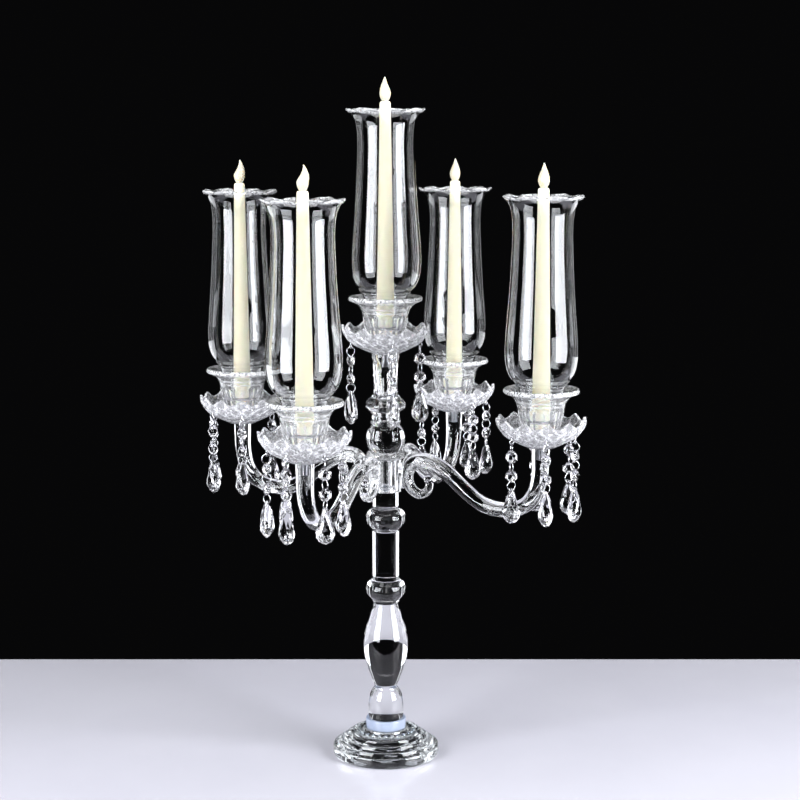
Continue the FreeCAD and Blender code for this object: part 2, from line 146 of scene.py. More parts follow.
class Builder:
    """Collects closed surfaces into one mesh."""

    def __init__(self):
        self.vertices = []
        self.faces = []

    def grid(self, rows, wrap_rows=False):
        """Skin over rows of points, each row a closed loop. Rows of one point close the end."""
        starts = []
        for row in rows:
            starts.append(len(self.vertices))
            self.vertices += row
        pairs = list(zip(range(len(rows)), range(1, len(rows))))
        if wrap_rows:
            pairs.append((len(rows) - 1, 0))
        for a, b in pairs:
            na, nb = len(rows[a]), len(rows[b])
            count = max(na, nb)
            for k in range(count):
                n = (k + 1) % count
                a0, a1 = starts[a] + (k if na > 1 else 0), starts[a] + (n if na > 1 else 0)
                b0, b1 = starts[b] + (k if nb > 1 else 0), starts[b] + (n if nb > 1 else 0)
                if na == 1:
                    self.faces.append((a0, b1, b0))
                elif nb == 1:
                    self.faces.append((a0, a1, b0))
                else:
                    self.faces.append((a0, a1, b1, b0))
        return self

    def lathe(self, profile, segments=128, shape=None, closed=False, centre=(0.0, 0.0)):
        """Turns (radius, height) points about Z. shape(r, z, angle) may move a point."""
        rows = []
        for r, z in profile:
            if r < 1e-6:
                rows.append([(centre[0], centre[1], z)])
                continue
            row = []
            for k in range(segments):
                angle = TAU * k / segments
                rr, zz = (r, z) if shape is None else shape(r, z, angle)
                row.append((centre[0] + rr * math.cos(angle), centre[1] + rr * math.sin(angle), zz))
            rows.append(row)
        return self.grid(rows, wrap_rows=closed)

    def torus(self, major, wire, centre, normal, segments=40, around=12):
        """A closed ring of round wire."""
        axis = Vector(normal).normalized()
        side = axis.orthogonal().normalized()
        other = axis.cross(side)
        rows = []
        for k in range(segments):
            a = TAU * k / segments
            out = side * math.cos(a) + other * math.sin(a)
            row = []
            for m in range(around):
                b = TAU * m / around
                p = Vector(centre) + out * (major + wire * math.cos(b)) + axis * (wire * math.sin(b))
                row.append(tuple(p))
            rows.append(row)
        return self.grid(rows, wrap_rows=True)

    def turned(self, matrix, start=0):
        """Moves the points from a start index by a matrix."""
        for i in range(start, len(self.vertices)):
            self.vertices[i] = tuple(matrix @ Vector(self.vertices[i]))
        return self

    def build(self, name, sharp=32.0):
        obj = make_piece(name, self.vertices, self.faces, sharp)
        fix_normals(obj)
        return obj


def fix_normals(obj):
    """Points every face outward, so that the glass knows its inside."""
    work = bmesh.new()
    work.from_mesh(obj.data)
    bmesh.ops.recalc_face_normals(work, faces=work.faces)
    work.to_mesh(obj.data)
    work.free()


def dressed(obj, material, slot, body, *nodes):
    """Gives a piece its material, the body it rides on and the CAD nodes it stands for. The slot is not
    used.
    """
    obj.data.materials.clear()
    obj.data.materials.append(material)
    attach(obj, body)
    if nodes:
        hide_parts(*nodes)
    return obj


def mark_painted_highlights(obj, values):
    """Marks how strongly each point of a glass piece is painted white as a highlight, from 0 for clear to 1.
    """
    layer = obj.data.attributes.new("painted_highlight", "FLOAT", "POINT")
    layer.data.foreach_set("value", values)
    return obj


def mark_painted_highlights_by(obj, share):
    """The same, from a rule share(radius, height, angle)."""
    values = []
    for vertex in obj.data.vertices:
        x, y, z = vertex.co / MM
        values.append(share(math.hypot(x, y), z, math.atan2(y, x)))
    return mark_painted_highlights(obj, values)


def copy_at(source, name, matrix):
    """A copy whose mesh takes the turn, so that its box stays tight, and whose object takes the place."""
    place, turn, _ = matrix.decompose()
    mesh = source.data.copy()
    mesh.transform(turn.to_matrix().to_4x4())
    obj = bpy.data.objects.new(name, mesh)
    bpy.context.scene.collection.objects.link(obj)
    obj.location = place
    return obj


# ---- materials --------------------------------------------------------------------------------

GRAIN_SCALE = 420.0
GRAIN_GAIN = (0.35, 1.55)   # how much of the painted highlight shows in a grain's dark and light parts
GRAIN_SPAN = (0.40, 0.60)   # the noise's values at which those are reached


def new_material(name):
    mat = bpy.data.materials.new(name)
    mat.use_nodes = True
    tree = mat.node_tree
    shader = tree.nodes["Principled BSDF"]
    return mat, tree, shader


def noise(tree, scale, detail=3.0, rough=0.5):
    coords = tree.nodes.new("ShaderNodeTexCoord")
    node = tree.nodes.new("ShaderNodeTexNoise")
    node.inputs["Scale"].default_value = scale
    node.inputs["Detail"].default_value = detail
    node.inputs["Roughness"].default_value = rough
    tree.links.new(coords.outputs["Object"], node.inputs["Vector"])
    return node


def mapped(tree, source, low, high, start=0.0, end=1.0):
    node = tree.nodes.new("ShaderNodeMapRange")
    node.inputs["From Min"].default_value = start
    node.inputs["From Max"].default_value = end
    node.inputs["To Min"].default_value = low
    node.inputs["To Max"].default_value = high
    tree.links.new(source, node.inputs["Value"])
    return node.outputs["Result"]


def bump(tree, source, strength, distance, shader):
    node = tree.nodes.new("ShaderNodeBump")
    node.inputs["Strength"].default_value = strength
    node.inputs["Distance"].default_value = distance
    tree.links.new(source, node.inputs["Height"])
    tree.links.new(node.outputs["Normal"], shader.inputs["Normal"])


def glass(name, colour, ior, wave_scale, wave, rough=(0.0, 0.02), clear=1.0):
    """Glass with the slight unevenness of its making, waves of the given scale and depth in millimetres.
    A clear share under 1 makes it a little milky."""
    mat, tree, shader = new_material(name)
    shader.inputs["Base Color"].default_value = (*colour, 1.0)
    shader.inputs["Transmission Weight"].default_value = clear
    shader.inputs["IOR"].default_value = ior
    texture = noise(tree, wave_scale)
    tree.links.new(mapped(tree, texture.outputs["Fac"], *rough), shader.inputs["Roughness"])
    bump(tree, texture.outputs["Fac"], 0.35, wave * MM, shader)
    return mat


def whiten_painted_highlights(mat, clear):
    """Paints a glass white, in fine broken grains, where its mesh is marked with painted highlights. The
    white stands in for light caught on ridges, rims and edges.
    """
    tree = mat.node_tree
    highlight_marks = tree.nodes.new("ShaderNodeAttribute")
    highlight_marks.attribute_name = "painted_highlight"
    grain = mapped(tree, noise(tree, GRAIN_SCALE, 2.0).outputs["Fac"], *GRAIN_GAIN, *GRAIN_SPAN)
    broken = tree.nodes.new("ShaderNodeMath")
    broken.operation = "MULTIPLY"
    tree.links.new(highlight_marks.outputs["Fac"], broken.inputs[0])
    tree.links.new(grain, broken.inputs[1])
    share = mapped(tree, broken.outputs["Value"], clear, 0.0)
    tree.links.new(share, tree.nodes["Principled BSDF"].inputs["Transmission Weight"])
    return mat


def wax(name, dark, light):
    """Ivory wax coat: slightly mottled, warm, with light passing a little way in."""
    mat, tree, shader = new_material(name)
    texture = noise(tree, 45.0, 4.0)
    ramp = tree.nodes.new("ShaderNodeValToRGB")
    ramp.color_ramp.elements[0].color = (*dark, 1)
    ramp.color_ramp.elements[1].color = (*light, 1)
    tree.links.new(texture.outputs["Fac"], ramp.inputs["Fac"])
    tree.links.new(ramp.outputs["Color"], shader.inputs["Base Color"])
    tree.links.new(mapped(tree, texture.outputs["Fac"], 0.38, 0.52), shader.inputs["Roughness"])
    shader.inputs["Subsurface Weight"].default_value = 0.25
    shader.inputs["Subsurface Radius"].default_value = (1.0, 0.7, 0.4)
    shader.inputs["Subsurface Scale"].default_value = 0.004
    bump(tree, texture.outputs["Fac"], 0.15, 0.0004, shader)
    return mat


def flame_plastic():
    """The soft milky plastic of an unlit flame tip."""
    mat, tree, shader = new_material("flame_plastic")
    texture = noise(tree, 160.0)
    ramp = tree.nodes.new("ShaderNodeValToRGB")
    ramp.color_ramp.elements[0].color = (0.50, 0.455, 0.33, 1)
    ramp.color_ramp.elements[1].color = (0.55, 0.515, 0.41, 1)
    tree.links.new(texture.outputs["Fac"], ramp.inputs["Fac"])
    tree.links.new(ramp.outputs["Color"], shader.inputs["Base Color"])
    tree.links.new(mapped(tree, texture.outputs["Fac"], 0.26, 0.40), shader.inputs["Roughness"])
    shader.inputs["Subsurface Weight"].default_value = 0.5
    shader.inputs["Subsurface Radius"].default_value = (1.0, 0.75, 0.45)
    shader.inputs["Subsurface Scale"].default_value = 0.006
    bump(tree, texture.outputs["Fac"], 0.1, 0.0003, shader)
    return mat


def metal(name, colour, low, high, scale):
    mat, tree, shader = new_material(name)
    shader.inputs["Base Color"].default_value = (*colour, 1.0)
    shader.inputs["Metallic"].default_value = 1.0
    texture = noise(tree, scale)
    tree.links.new(mapped(tree, texture.outputs["Fac"], low, high), shader.inputs["Roughness"])
    bump(tree, texture.outputs["Fac"], 0.1, 0.0001, shader)
    return mat


def table_top():
    """Pale polished stone with a faint cloud in it."""
    mat, tree, shader = new_material("pale_floor")
    texture = noise(tree, 2.2, 5.0, 0.6)
    ramp = tree.nodes.new("ShaderNodeValToRGB")
    ramp.color_ramp.elements[0].position = 0.3
    ramp.color_ramp.elements[0].color = (0.480, 0.472, 0.522, 1)
    ramp.color_ramp.elements[1].position = 0.6
    ramp.color_ramp.elements[1].color = (0.512, 0.504, 0.550, 1)
    tree.links.new(texture.outputs["Fac"], ramp.inputs["Fac"])
    tree.links.new(ramp.outputs["Color"], shader.inputs["Base Color"])
    tree.links.new(mapped(tree, texture.outputs["Fac"], 0.10, 0.16), shader.inputs["Roughness"])
    return mat


CLEAR_TINT = (0.985, 0.99, 0.99)
POLISHED = (0.0, 0.01)
CLEAR = glass("clear_glass", CLEAR_TINT, 1.50, 30.0, 0.03, POLISHED)
FOOT_GLASS = glass("foot_glass", (0.94, 0.975, 0.965), 1.52, 40.0, 0.06, POLISHED)
# The ribbed, cup, pressed and blown glass are painted white where their meshes carry painted highlights,
# standing in for light caught on their ridges, rims and edges.
RIBBED = whiten_painted_highlights(glass("ribbed_glass", CLEAR_TINT, 1.50, 30.0, 0.03, POLISHED), 1.0)
CUP_GLASS = whiten_painted_highlights(glass("cup_glass", CLEAR_TINT, 1.52, 60.0, 0.05), 0.98)
COLLAR_GLASS = glass("collar_glass", (0.48, 0.55, 0.70), 1.50, 80.0, 0.05, (0.05, 0.15), 0.50)
PRESSED = whiten_painted_highlights(glass("pressed_crystal", (0.985, 0.985, 1.0), 1.52, 330.0, 0.9, (0.0, 0.03)), 0.97)
BLOWN = whiten_painted_highlights(glass("blown_glass", (0.99, 0.995, 0.995), 1.47, 14.0, 0.25, POLISHED), 1.0)
CRYSTAL = glass("cut_crystal", (0.99, 0.99, 1.0), 1.60, 300.0, 0.01, POLISHED)
WAX = wax("ivory_wax", (0.88, 0.83, 0.61), (0.93, 0.89, 0.70))
# Painted light: the battery cap's wax is a lighter copy of the candle wax, standing in for light that the
# glass cup keeps off it.
CAP_BRIGHTENED = wax("ivory_cap_brightened", (0.96, 0.92, 0.74), (0.99, 0.96, 0.82))
FLAME = flame_plastic()
WIRE = metal("plated_wire", (0.60, 0.60, 0.62), 0.10, 0.22, 900.0)
STEEL = metal("turned_steel", (0.42, 0.42, 0.44), 0.22, 0.40, 600.0)


# ---- column -----------------------------------------------------------------------------------

def node_heights(node):
    """The bottom and top of a CAD node, in millimetres."""
    low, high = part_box(node)
    return low.z / MM, high.z / MM


def column_piece(node, material, slot, profile, segments=128, shape=None, extra=None, painted_highlights=None):
    """A turned piece of the column, drawn between the node's own bottom and top."""
    low, high = node_heights(node)
    points = [(r, min(max(z, low + SEAM), high - SEAM)) for r, z in profile]
    work = Builder().lathe(points, segments, shape)
    if extra is not None:
        extra(work)
    piece = work.build(f"{node}_glass")
    # Painted highlights, where the piece has them.
    if painted_highlights is not None:
        mark_painted_highlights_by(piece, painted_highlights)
    return dressed(piece, material, slot, "stand", node)


def foot_beads(work):
    """The row of small domes in the well between the seat and the raised ring."""
    circle_r, dome_r, dome_z, base_z = 28.8, 3.0, 26.2, 25.75
    quarter = [t * TAU / 24 for t in range(1, 7)]
    dome = [(0.0, dome_z + dome_r)]
    dome += [(dome_r * math.sin(a), dome_z + dome_r * math.cos(a)) for a in quarter]
    dome += [(dome_r, base_z), (0.0, base_z)]
    for k in range(FOOT_BEADS):
        angle = TAU * (k + 0.5) / FOOT_BEADS
        work.lathe(dome, 16, centre=(circle_r * math.cos(angle), circle_r * math.sin(angle)))


def build_column():
    def foot_shape(r, z, angle):
        """The slight waviness of poured glass round the treads."""
        if r > 34.0 and z > 3.0:
            return r + 0.12 * math.sin(9 * angle + 0.5 * z) * eased((z - 3.0) / 3.0), z
        return r, z

    column_piece("foot", FOOT_GLASS, "foot_glass", outline(
        [(0, 1.2), (6.0, 1.2)],
        [(6.0, 1.2), (20.0, 1.2), (34.0, 1.0), (46.0, 0.7), (54.0, 0.12)],
        [(54.0, 0.12), (57.6, 1.1), (58.4, 3.6)],
        [(58.4, 3.6), (58.4, 8.0)],
        [(58.4, 8.0), (57.4, 11.6), (54.2, 13.2)],
        [(54.2, 13.2), (52.4, 12.4)],
        [(52.4, 12.4), (50.9, 16.0), (48.2, 17.4)],
        [(48.2, 17.4), (46.6, 16.6)],
        [(46.6, 16.6), (45.2, 20.6), (42.0, 22.0)],
        [(42.0, 22.0), (40.0, 21.2)],
        [(40.0, 21.2), (38.8, 25.2), (35.6, 26.9), (32.6, 25.6)],
        [(32.6, 25.6), (25.0, 25.6)],
        [(25.0, 25.6), (23.4, 29.7)],
        [(23.4, 29.7), (12.0, 29.8)],
        [(12.0, 29.8), (0, 29.8)],
    ), 240, foot_shape, foot_beads)

    low, high = node_heights("foot_collar")
    column_piece("foot_collar", COLLAR_GLASS, "collar_glass", outline(
        [(0, low), (20.8, low)], [(20.8, low), (21.7, low + 0.4), (22.0, low + 1.3)],
        [(22.0, low + 1.3), (22.0, high - 1.3)], [(22.0, high - 1.3), (21.7, high - 0.4), (20.8, high)],
        [(20.8, high), (0, high)]))

    low, high = node_heights("baluster")
    column_piece("baluster", CLEAR, "clear_glass", outline(
        [(0, low), (18.6, low)],
        [(18.6, low), (19.5, low + 5), (19.2, low + 15), (18.0, low + 25), (15.0, low + 32)],
        [(15.0, low + 32), (13.0, low + 35), (12.6, low + 38)],
        [(12.6, low + 38), (16.8, low + 48), (21.6, low + 62.5), (24.4, low + 81), (23.3, low + 96),
         (18.7, low + 113), (15.0, low + 125), (13.8, high)],
        [(13.8, high), (0, high)]))

    low, high = node_heights("lower_knop")
    column_piece("lower_knop", CLEAR, "clear_glass", outline(
        [(0, low), (14.0, low)],
        [(14.0, low), (15.8, low + 4.5), (20.2, low + 9.5), (22.0, low + 15.4), (20.6, low + 21.0),
         (16.6, low + 24.8), (14.8, high)],
        [(14.8, high), (0, high)]))

    low, high = node_heights("column_rod")
    column_piece("column_rod", CLEAR, "clear_glass", outline(
        [(0, low), (14.2, low)], [(14.2, low), (14.7, low + 0.5)], [(14.7, low + 0.5), (14.7, high - 0.5)],
        [(14.7, high - 0.5), (14.2, high)], [(14.2, high), (0, high)]))

    low, high = node_heights("upper_knop")
    column_piece("upper_knop", CLEAR, "clear_glass", outline(
        [(0, low), (14.8, low)],
        [(14.8, low), (16.6, low + 3.4), (20.6, low + 8.6), (21.9, low + 14.4), (20.4, low + 19.6),
         (16.6, low + 22.8), (14.2, low + 24.4)],
        [(14.2, low + 24.4), (14.2, high)],
        [(14.2, high), (0, high)]))

    low, high = node_heights("hub")

    def hub_shape(r, z, angle):
        """Upright flutes round the hub, rounded out at its ends."""
        depth = eased((z - low - 0.8) / 1.5) * eased((high - 0.8 - z) / 1.5)
        return (r - 0.7 * depth * (0.5 - 0.5 * math.cos(HUB_FLUTES * angle)) if r > 16 else r), z

    def hub_painted_highlights(r, z, angle):
        """Painted highlights on the ridges between the flutes."""
        return 0.30 * (0.5 + 0.5 * math.cos(HUB_FLUTES * angle)) ** 2 if r > 15 else 0.0

    column_piece("hub", RIBBED, "clear_glass", outline(
        [(0, low), (16.9, low)], [(16.9, low), (17.6, low + 0.8)],
        [(17.6, low + 0.8), (17.6, low + 2.4), (17.6, high - 2.4), (17.6, high - 0.8)],
        [(17.6, high - 0.8), (16.9, high)], [(16.9, high), (0, high)]), 168, hub_shape, painted_highlights=hub_painted_highlights)

    low, high = node_heights("hub_cap")
    # A painted highlight round the cap's outer edge.
    column_piece("hub_cap", RIBBED, "clear_glass", outline(
        [(0, low), (18.2, low)], [(18.2, low), (20.4, low + 1.6), (20.5, low + 5.4), (18.4, high)],
        [(18.4, high), (0, high)]), painted_highlights=lambda r, z, angle: 0.15 if r > 18 else 0.0)

    low, high = node_heights("ball_knop")
    column_piece("ball_knop", CLEAR, "clear_glass", outline(
        [(0, low), (15.6, low)],
        [(15.6, low), (19.6, low + 5.4), (21.2, low + 14.4), (19.3, low + 23.6), (15.2, low + 28.4)],
        [(15.2, low + 28.4), (16.4, low + 33.4), (14.2, low + 39.0)],
        [(14.2, low + 39.0), (14.2, high)],
        [(14.2, high), (0, high)]))

    low, high = node_heights("upper_stem")

    def stem_shape(r, z, angle):
        """Flutes up the waist of the stem, fading into the skirt and the top."""
        depth = eased((z - low - 16.0) / 8.0) * eased((high - 4.0 - z) / 6.0)
        return (r - 0.8 * depth * (0.5 - 0.5 * math.cos(STEM_FLUTES * angle)) if r > 9 else r), z

    column_piece("upper_stem", CLEAR, "clear_glass", outline(
        [(0, low), (14.4, low)],
        [(14.4, low), (19.4, low + 1.9), (22.2, low + 6.7), (19.4, low + 11.9), (14.6, low + 16.5),
         (12.6, low + 22.5)],
        [(12.6, low + 22.5), (12.5, low + 32), (13.3, low + 48), (14.3, high - 6)],
        [(14.3, high - 6), (15.0, high - 4)],
        [(15.0, high - 4), (14.6, high)],
        [(14.6, high), (3.1, high)],
        [(3.1, high), (3.1, high - 14.5)],
        [(3.1, high - 14.5), (0, high - 14.5)]), 160, stem_shape)


# ---- arms -------------------------------------------------------------------------------------

def arm_path(top):
    """(distance from the column, height, section radius) down from the light to the curl's end."""
    return [
        (ARM_REACH, top, 9.6), (ARM_REACH, top - 14.0, 9.2), (179.4, 328.0, 8.8), (174.5, 309.5, 8.3),
        (163.5, 296.0, 8.0), (149.0, 290.2, 8.0), (133.0, 288.6, 8.0), (117.9, 291.4, 8.2),
        (103.8, 298.7, 8.3), (90.0, 309.2, 8.5), (75.6, 321.0, 8.8), (62.0, 329.4, 9.0),
        (49.5, 333.4, 9.0), (37.8, 332.6, 8.6), (29.4, 325.8, 7.6), (26.4, 314.8, 6.7),
        (30.6, 302.8, 6.1), (41.0, 296.6, 5.4), (50.2, 300.6, 4.8), (52.6, 308.6, 4.3), (51.4, 312.4, 4.0),
    ]


def build_arm_mesh():
    """One arm, pointing along X: the swept rod, a ball on the end of its curl and a peg in the hub."""
    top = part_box("bobeche_right")[0].z / MM - SEAM
    line = smooth(arm_path(top), 8)
    around = 48
    work = Builder()
    rows = [[(ARM_REACH, 0.0, top)]]
    painted_highlights = [0.0]
    last = len(line) - 1
    for i, (r, z, radius) in enumerate(line):
        r0, z0, _ = line[max(i - 1, 0)]
        r1, z1, _ = line[min(i + 1, last)]
        along = Vector((r1 - r0, 0, z1 - z0)).normalized()
        across = along.cross(Vector((0, 1, 0)))
        share = i / last
        ribs = eased((share - 0.50) / 0.12) * eased((0.97 - share) / 0.12)
        row = []
        for k in range(around):
            a = TAU * k / around
            rib = radius - 0.6 * ribs * (0.5 - 0.5 * math.cos(ARM_RIBS * a))
            offset = across * (rib * math.cos(a)) + Vector((0, 1, 0)) * (rib * math.sin(a))
            row.append((r + offset.x, offset.y, z + offset.z))
            # Painted highlights along the crests of the ribs.
            painted_highlights.append(0.4 * ribs * (0.5 + 0.5 * math.cos(ARM_RIBS * a)) ** 3)
        rows.append(row)
    end_r, end_z, _ = line[-1]
    rows.append([(end_r - 0.4, 0.0, end_z + 1.0)])
    work.grid(rows)

    ball_r = 4.7
    meridian = [t * TAU / 32 for t in range(1, 16)]
    ball = [(0.0, ball_r)]
    ball += [(ball_r * math.sin(a), ball_r * math.cos(a)) for a in meridian]
    ball += [(0.0, -ball_r)]
    start = len(work.vertices)
    work.lathe(ball, 32)
    work.turned(Matrix.Translation((51.0, 0.0, 313.6)), start)

    peg_r, peg_length = 4.4, 3.6
    start = len(work.vertices)
    work.lathe([(0, 0), (peg_r, 0), (peg_r, peg_length), (0, peg_length)], 32)
    work.turned(Matrix.Translation((17.75, 0.0, 319.0)) @ Matrix.Rotation(TAU / 4, 4, "Y"), start)
    painted_highlights += [0.0] * (len(work.vertices) - len(painted_highlights))
    return mark_painted_highlights(work.build("arm_mesh"), painted_highlights)


# ---- lights -----------------------------------------------------------------------------------

def bobeche_height(angle):
    """How far the edge dips at an angle: rounded dips between cusped lobes, each with a small lift."""
    u = (angle * LOBES / TAU) % 1.0
    across = abs(u - 0.5) * 2
    dip = 6.0 * (1 - across ** 1.7)
    curl = 0.6 * math.exp(-((across - 0.72) / 0.13) ** 2)
    return dip - curl


def wedge(x):
    """A straight-sided wave between 0 and 1 with a period of 1."""
    return abs((x % 1.0) - 0.5) * 2


def bobeche_relief(angle, v):
    """Pressed pattern on the underside: a field of cut diamonds low down and a fan in each lobe.
    Gives the depth in millimetres and how strongly the ridges get a painted highlight."""
    turns = angle * LOBES / TAU
    diamond = min(wedge(1.5 * turns + 2.6 * v), wedge(1.5 * turns - 2.6 * v))
    fan = wedge(2.5 * ((turns % 1.0) - 0.5) * (1.25 - 0.35 * v))
    low = eased((v - 0.05) / 0.05) * (1 - eased((v - 0.66) / 0.08))
    high = eased((v - 0.66) / 0.08) * (1 - eased((v - 0.96) / 0.04))
    depth = 2.2 * diamond * low + 1.3 * fan * high
    ridge = (1 - eased(diamond / 0.75)) * low + (1 - eased(fan / 0.85)) * high
    return depth, ridge


def build_bobeche_mesh():
    """The dish, skinned from the screw hole out underneath, over the edge and back in on top."""
    segments = LOBES * 36
    outer = smooth([(17.4, -60.6), (29.5, -54.9), (37.6, -50.3), (43.4, -43.5), (46.1, -36.4),
                    (47.1, BOBECHE_TIP)], 11)
    inner = smooth([(44.6, BOBECHE_TIP), (42.9, -36.6), (39.4, -42.4), (33.0, -47.2), (25.0, -50.6),
                    (17.6, -52.4)], 6)
    rows = []
    painted_highlights = []

    def ring(r, z, v, relief):
        """One row of points, with v running from 0 at the middle of the dish to 1 at its edge."""
        row = []
        for k in range(segments):
            angle = TAU * k / segments
            drop = bobeche_height(angle) * eased((v - 0.55) / 0.45)
            depth, ridge = bobeche_relief(angle, v) if relief else (0.0, 0.25)
            rr = r - depth
            row.append((rr * math.cos(angle), rr * math.sin(angle), z - drop))
            # Painted highlights: a faint white over the whole dish, stronger on the ridges of the pattern
            # and at the edge.
            painted_highlights.append(0.09 + 0.30 * max(ridge, eased((v - 0.93) / 0.05)))
        return row

    rows += [ring(r, BOBECHE_BASE + SEAM, 0.0, False) for r in (SCREW_HOLE_R, 15.0)]
    last = len(outer) - 1
    rows += [ring(r, z, i / last, True) for i, (r, z) in enumerate(outer)]
    rows.append(ring(46.3, BOBECHE_TIP + 0.05, 1.0, False))
    rows.append(ring(45.4, BOBECHE_TIP + 0.05, 1.0, False))
    last = len(inner) - 1
    rows += [ring(r, z, 1 - i / last, False) for i, (r, z) in enumerate(inner)]
    rows += [ring(r, CUP_BASE - SEAM, 0.0, False) for r in (17.0, SCREW_HOLE_R)]
    return mark_painted_highlights(Builder().grid(rows, wrap_rows=True).build("bobeche_mesh", 24), painted_highlights)


def build_cup_mesh():
    """The flared cup: a wide ledge for the shade, a socket for the taper and a hole for the screw."""

    def flutes(r, z, angle):
        """Arched hollows round the outside of the cup's body."""
        if r < 15.0 or not outside(r, z):
            return r, z
        across = wedge(angle * CUP_FLUTES / TAU)
        arch = eased((-19.5 - 3.0 * across ** 2 - z) / 2.5) * eased((z + 52.0) / 6.0)
        return r - 1.5 * arch * (1 - across ** 2.2), z

    def outside(r, z):
        """True below the flare, on the outer wall."""
        return r > 15.2 + (z - CUP_BASE) * 0.27 - 0.9 and z < -17.0

    profile = outline(
        [(SCREW_HOLE_R, CUP_BASE + SEAM), (15.4, CUP_BASE + SEAM)],
        [(15.4, CUP_BASE + SEAM), (17.0, -49.0), (20.4, -41.0), (22.8, -33.0), (24.2, -24.0), (24.9, -18.0)],
        [(24.9, -18.0), (26.8, -13.4), (31.2, -8.6), (37.4, -5.4)],
        [(37.4, -5.4), (39.3, -4.3), (39.6, -2.2), (38.4, -0.2)],
        [(38.4, -0.2), (36.2, -0.3)],
        [(36.2, -0.3), (31.0, -3.6), (26.6, -8.6), (23.2, -13.8), (22.6, -16.0)],
        [(22.6, -16.0), (19.6, -16.0)],
        [(19.6, -16.0), (19.2, -24.0), (17.4, -31.0), (14.0, -34.6)],
        [(14.0, -34.6), (10.4, -35.0)],
        [(10.4, -35.0), (10.4, -41.0)],
        [(10.4, -41.0), (6.2, -41.0)],
        [(6.2, -41.0), (6.2, -44.0)],
        [(6.2, -44.0), (SCREW_HOLE_R, -44.0)],
        [(SCREW_HOLE_R, -44.0), (SCREW_HOLE_R, -50.0)],
    )

    def painted_highlights(r, z, angle):
        """Painted highlights: a white rim and two white lines under it, and white edges between the hollows.
        """
        rim = eased((r - 32.5) / 3.0)
        lines = max(1 - abs(z + level) / 1.3 for level in (12.6, 17.0)) if z < -10.5 else 0.0
        edges = wedge(angle * CUP_FLUTES / TAU) ** 2 * eased((-19.0 - z) / 3.0) if outside(r, z) else 0.0
        return 0.02 + 0.30 * max(rim, lines, 0.0) + 0.12 * edges

    return mark_painted_highlights_by(Builder().lathe(profile, 240, flutes, closed=True).build("cup_mesh", 34), painted_highlights)


def build_shade_mesh():
    """A thin blown chimney with a ruffled lip."""
    body = smooth([(27.4, 5.6), (31.2, 9.6), (35.2, 16.6), (37.5, 26.0), (38.4, 40.0), (37.6, 56.0),
                   (35.5, 82.0), (33.4, 112.0), (32.0, 140.0), (31.4, 158.0), (31.8, 172.0), (33.4, 183.0),
                   (36.4, 191.4), (40.2, 196.0)], 6)
    last = len(body) - 1
    inside = []
    for i, (r, z) in enumerate(body):
        r0, z0 = body[max(i - 1, 0)]
        r1, z1 = body[min(i + 1, last)]
        length = math.hypot(r1 - r0, z1 - z0)
        wall = 1.9 - 0.5 * eased((z - 150.0) / 40.0)
        inside.append((r - (z1 - z0) / length * wall, z + (r1 - r0) / length * wall))

    def ruffle(r, z, angle):
        """Waves of the lip: up and down, and in and out, strongest at the edge."""
        weight = eased((z - 178.0) / 20.0)
        wave = math.sin(8 * angle) + 0.35 * math.sin(16 * angle + 0.8) + 0.25 * math.sin(3 * angle + 2.0)
        return r * (1 + 0.022 * weight * wave), z + 0.95 * weight * wave - 0.8 * weight

    lip = [(41.0, 196.6), (41.5, 197.4), (41.2, 198.3), (40.2, 198.7), (39.2, 198.2)]
    neck = [(22.1, -15.6), (22.2, -8.0), (24.4, 0.4), (26.6, 3.4), (26.8, 4.6)]
    neck_inside = [(24.7, 5.4), (24.5, 3.6), (22.4, 0.8), (20.4, -8.0), (20.2, -15.6)]
    profile = neck_inside[-1:] + smooth(neck, 4) + body + lip + inside[::-1] + smooth(neck_inside, 4)[:-1]
    shade = Builder().lathe(profile, 168, ruffle, closed=True).build("shade_mesh", 50)
    # A painted highlight along the outer edge of the lip.
    return mark_painted_highlights_by(shade, lambda r, z, angle: 0.3 * eased((r - 38.4) / 1.6) if z > 190 else 0.0)


